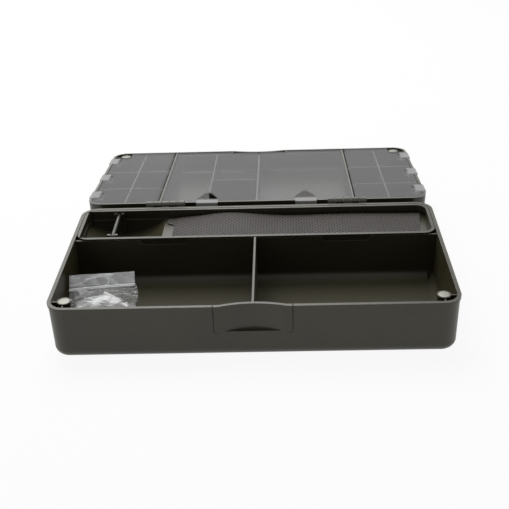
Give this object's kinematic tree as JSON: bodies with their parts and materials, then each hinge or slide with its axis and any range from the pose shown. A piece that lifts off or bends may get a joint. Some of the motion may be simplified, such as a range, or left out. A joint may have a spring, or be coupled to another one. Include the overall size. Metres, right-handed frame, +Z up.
{
  "type": "fishing tackle box",
  "caption": "Flat open tackle box: lid folded back with hinged clear covers over its compartments, lift-out tray with mat and spool spindle, small grip bag.",
  "frame": {"origin": "centre of the base's underside", "axes": "+X to the right along the front, +Y from the front towards the open lid, +Z up"},
  "size_m": [0.363, 0.4132, 0.0559],
  "materials": {
    "moulding": "fine satin texture, dark olive",
    "lid_moulding": "fine satin texture, dark olive",
    "tray_moulding": "fine satin texture, dark olive",
    "cover": "clear, smoke tinted, polished",
    "magnet": "plated",
    "pin": "drawn wire",
    "mat": "fine diamond mesh, grey",
    "spindle": "satin",
    "clip": "matte black",
    "film": "clear film, wrinkled",
    "seal": "milky clear",
    "sleeve": "satin white"
  },
  "bodies": {
    "base": {"base_tub": "moulding", "base_magnet_left": "magnet", "base_magnet_right": "magnet", "hinge_pin_left": "pin", "hinge_pin_right": "pin"},
    "lid": {"lid_shell": "lid_moulding", "lid_magnet_left": "magnet", "lid_magnet_right": "magnet", "lid_section_wall_left": "lid_moulding", "lid_section_wall_right": "lid_moulding", "lid_centre_wall": "lid_moulding", "lid_grid_left": "lid_moulding", "lid_grid_right": "lid_moulding", "lid_mid_partition": "lid_moulding"},
    "side_cover_left": {"cover_side_left": "cover"},
    "side_cover_right": {"cover_side_right": "cover"},
    "mid_cover_left": {"cover_mid_left": "cover"},
    "mid_cover_right": {"cover_mid_right": "cover"},
    "lift_out_tray": {"tray": "tray_moulding"},
    "mat": {"tray_mat": "mat"},
    "clip": {"spindle_clip": "clip"},
    "spindle": {"spool_spindle": "spindle"},
    "bag": {"bag_film": "film", "bag_seal": "seal", "bag_sleeves": "sleeve"}
  },
  "joints": [
    {"name": "lid_hinge", "type": "hinge", "parent": "base", "child": "lid", "pos_m": [0, 0.1074, 0.0521], "axis": [1, 0, 0], "range_deg": [0, 186.81]},
    {"name": "side_cover_left_hinge", "type": "hinge", "parent": "lid", "child": "side_cover_left", "pos_m": [-0.1065, 0.21372, 0.03669], "axis": [0, -0.993, 0.1185], "range_deg": [-90, 0]},
    {"name": "side_cover_right_hinge", "type": "hinge", "parent": "lid", "child": "side_cover_right", "pos_m": [0.1065, 0.21372, 0.03669], "axis": [0, 0.993, -0.1185], "range_deg": [-90, 0]},
    {"name": "mid_cover_left_hinge", "type": "hinge", "parent": "lid", "child": "mid_cover_left", "pos_m": [-0.0676, 0.30845, 0.02539], "axis": [1, 0, 0], "range_deg": [-100, 0]},
    {"name": "mid_cover_right_hinge", "type": "hinge", "parent": "lid", "child": "mid_cover_right", "pos_m": [0.0676, 0.30845, 0.02539], "axis": [1, 0, 0], "range_deg": [-100, 0]},
    {"name": "tray_lift", "type": "slide", "parent": "base", "child": "lift_out_tray", "axis": [0, 0, -1], "range_m": [-0.06, 0]},
    {"name": "mat_lift", "type": "slide", "parent": "lift_out_tray", "child": "mat", "axis": [0, 0, -1], "range_m": [-0.03, 0]},
    {"name": "spindle_lift", "type": "slide", "parent": "lift_out_tray", "child": "clip", "axis": [0, 0, -1], "range_m": [-0.03, 0]},
    {"name": "spindle_spin", "type": "hinge", "parent": "clip", "child": "spindle", "pos_m": [-0.142, 0.0663, 0.048], "axis": [0, 1, 0], "continuous": true},
    {"name": "bag_lift", "type": "slide", "parent": "base", "child": "bag", "axis": [0, 0, -1], "range_m": [-0.06, 0]}
  ]
}
